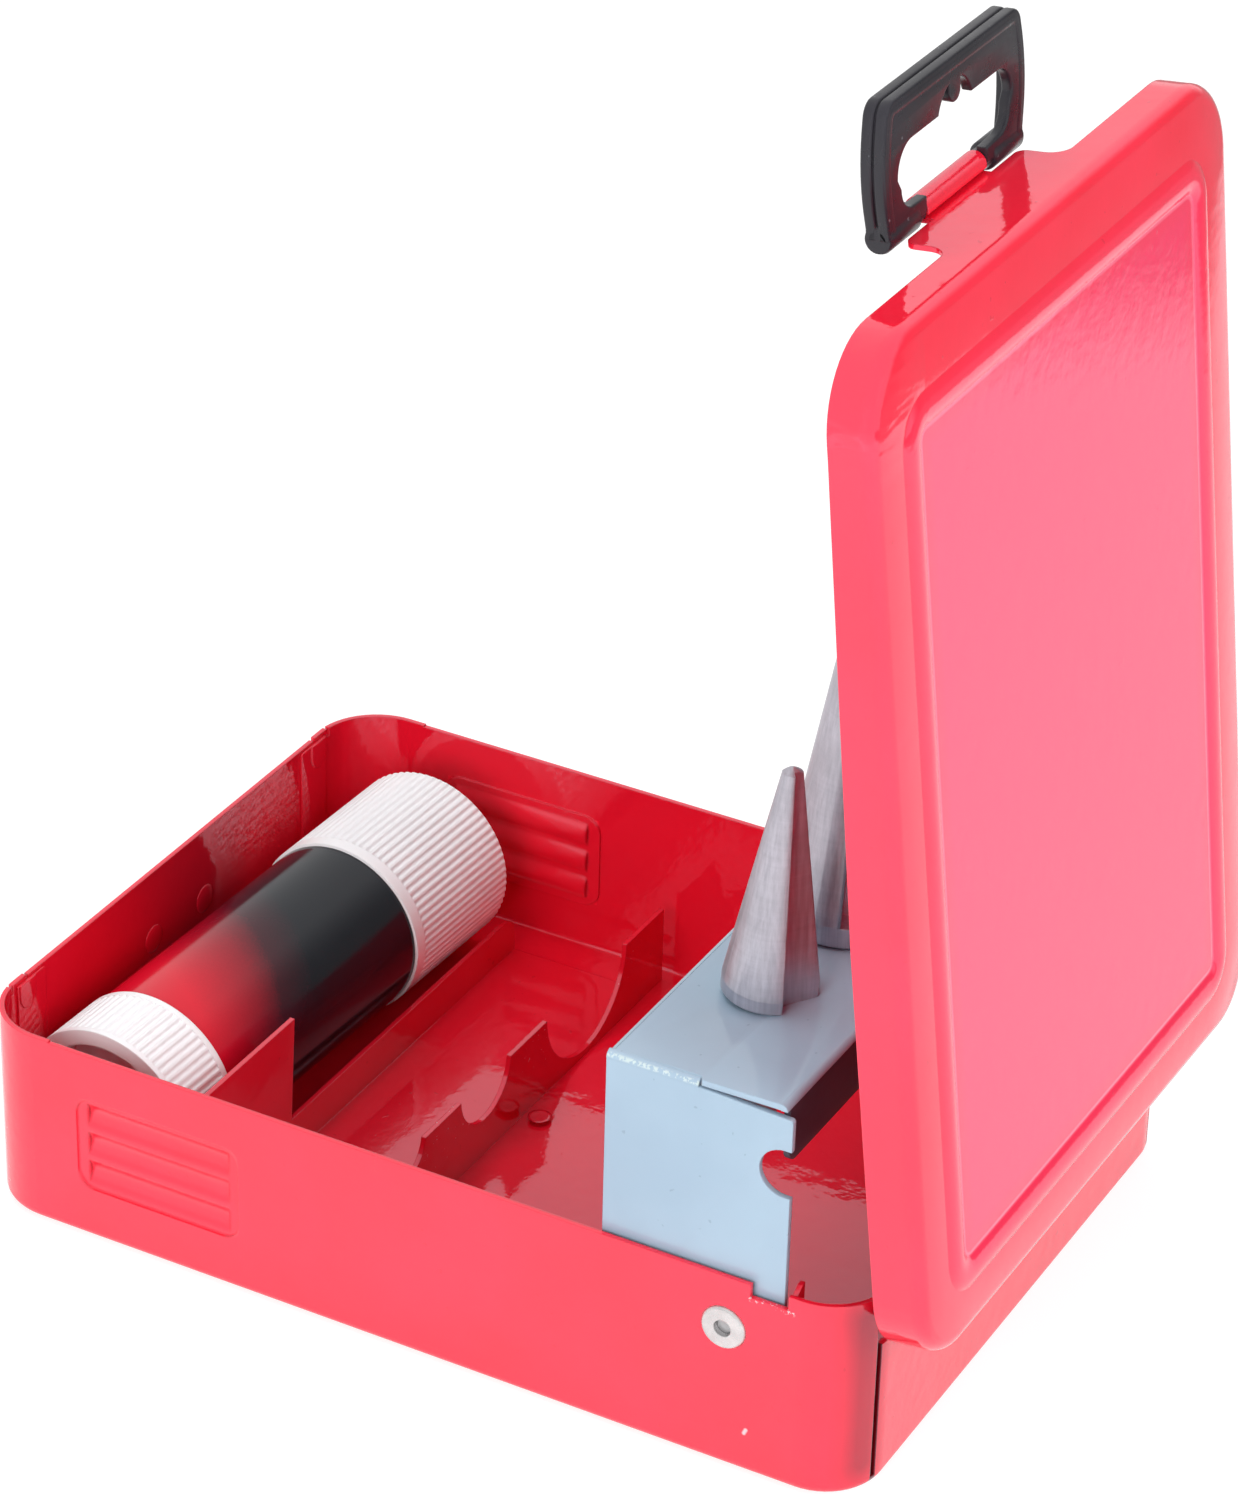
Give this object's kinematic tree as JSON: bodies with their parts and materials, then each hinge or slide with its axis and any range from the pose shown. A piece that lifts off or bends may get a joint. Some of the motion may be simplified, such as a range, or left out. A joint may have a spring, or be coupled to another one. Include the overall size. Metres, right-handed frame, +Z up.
{
  "type": "hinged case",
  "caption": "Sheet-steel drill bit case with a hinged lid, a swinging ring latch, a tilting drill rack that holds cone drills and a twist-up stick of cutting paste.",
  "frame": {"origin": "centre of the underside of the tray", "axes": "+X along the hinge towards the side that the picture shows, +Y from the latch towards the hinge, +Z up. Rest pose: lid open, rack standing."},
  "size_m": [0.1132, 0.1626, 0.1981],
  "materials": {
    "red_paint": "glossy",
    "grey_paint": "glossy",
    "drill_steel": "ground",
    "pin_steel": "satin",
    "eyelet_aluminium": "satin",
    "black_plastic": "satin",
    "white_plastic": "satin",
    "label_film": "glossy",
    "paste": "waxy"
  },
  "bodies": {
    "tray": {"tray_shell": "red_paint", "drill_cradle": "red_paint", "hinge_pin": "pin_steel", "near_eyelet": "eyelet_aluminium", "far_eyelet": "eyelet_aluminium"},
    "lid": {"lid_shell": "red_paint"},
    "latch": {"latch_handle": "black_plastic"},
    "rack": {"rack_bracket": "grey_paint"},
    "small_drill": {"small_cone_drill": "drill_steel"},
    "medium_drill": {"medium_cone_drill": "drill_steel"},
    "large_drill": {"large_cone_drill": "drill_steel"},
    "stick": {"stick_tube": "white_plastic", "stick_label": "label_film"},
    "cap": {"stick_cap": "white_plastic"},
    "twist_base": {"stick_twist_base": "white_plastic", "stick_spindle": "white_plastic"},
    "carrier": {"stick_carrier": "white_plastic", "stick_paste": "paste"}
  },
  "joints": [
    {"name": "lid_hinge", "type": "hinge", "parent": "tray", "child": "lid", "pos_m": [0, 0.0775, 0.026], "axis": [-1, 0, 0], "range_deg": [-83.5, 0]},
    {"name": "rack_pivot", "type": "hinge", "parent": "tray", "child": "rack", "pos_m": [0, 0.0535, 0.0243], "axis": [-1, 0, 0], "range_deg": [-90.01, 0]},
    {"name": "latch_pivot", "type": "hinge", "parent": "lid", "child": "latch", "pos_m": [0, 0.05311, 0.17912], "axis": [-1, 0, 0], "range_deg": [-88.3, 0]},
    {"name": "small_drill_lift", "type": "slide", "parent": "rack", "child": "small_drill", "axis": [0, 0.0593, 0.9982], "range_m": [0, 0.018]},
    {"name": "medium_drill_lift", "type": "slide", "parent": "rack", "child": "medium_drill", "axis": [0, 0.0471, 0.9989], "range_m": [0, 0.018]},
    {"name": "large_drill_lift", "type": "slide", "parent": "rack", "child": "large_drill", "axis": [0, 0.0192, 0.9998], "range_m": [0, 0.018]},
    {"name": "stick_lift", "type": "slide", "parent": "tray", "child": "stick", "axis": [0, 0, 1], "range_m": [0, 0.035]},
    {"name": "cap_pull", "type": "slide", "parent": "stick", "child": "cap", "axis": [-0.9994, 0.0349, 0], "range_m": [0, 0.006]},
    {"name": "twist_base_turn", "type": "hinge", "parent": "stick", "child": "twist_base", "pos_m": [0, -0.0556, 0.01577], "axis": [0.9994, -0.0349, 0], "range_deg": [0, 720]},
    {"name": "carrier_rise", "type": "slide", "parent": "stick", "child": "carrier", "axis": [-0.9994, 0.0349, 0], "range_m": [0, 0.00701]}
  ],
  "couplings": [
    {"joint": "rack_pivot", "follows": "lid_hinge", "ratio": 1.0778},
    {"joint": "carrier_rise", "follows": "twist_base_turn", "m_per_rad": 0.00055704}
  ]
}
